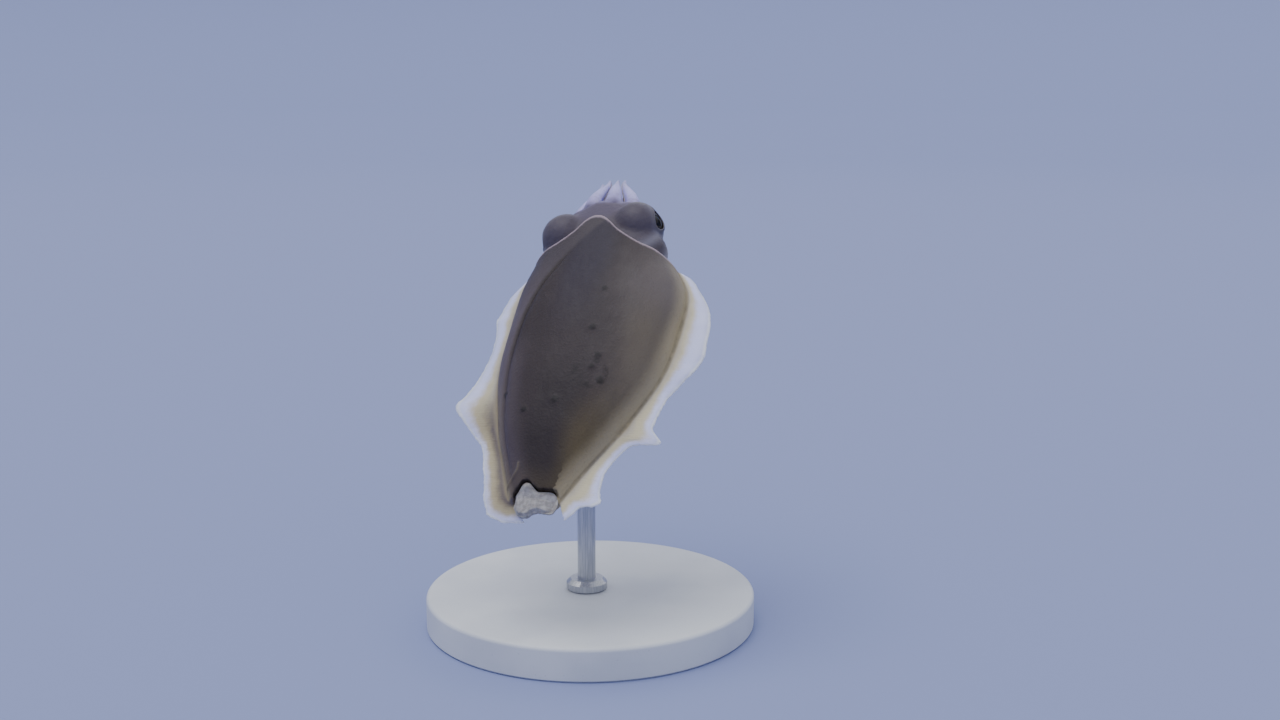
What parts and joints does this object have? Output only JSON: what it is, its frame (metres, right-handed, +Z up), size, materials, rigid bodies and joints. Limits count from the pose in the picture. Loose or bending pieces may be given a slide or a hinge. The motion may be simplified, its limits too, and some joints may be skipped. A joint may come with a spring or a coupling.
{
  "type": "cuttlefish model",
  "caption": "Life-size model of a small swimming cuttlefish, head up, with ruffled fins, gathered arms and a worn tail end, held by one rod on a round display stand.",
  "frame": {"origin": "centre of the stand's flat underside", "axes": "+Z up; +Y is the way the animal swims, head first and nose up; +X is to its right"},
  "size_m": [0.08, 0.1008, 0.1048],
  "materials": {
    "skin": "moist mottled skin",
    "pale_skin": "moist pale skin",
    "fin": "thin pale skin",
    "cuttlebone": "chalky",
    "eye": "glossy",
    "stand_base": "satin pale grey",
    "stand_rod": "brushed"
  },
  "bodies": {
    "root": {"mantle": "skin", "cuttlebone_end": "cuttlebone", "head": "skin", "eye_left": "eye", "eye_right": "eye", "funnel": "pale_skin", "fin_left": "fin", "fin_right": "fin", "arm_left_1": "pale_skin", "arm_left_2": "pale_skin", "arm_left_3": "pale_skin", "arm_left_4": "pale_skin", "arm_right_1": "pale_skin", "arm_right_2": "pale_skin", "arm_right_3": "pale_skin", "arm_right_4": "pale_skin", "stand_base": "stand_base", "stand_rod": "stand_rod"}
  },
  "joints": []
}
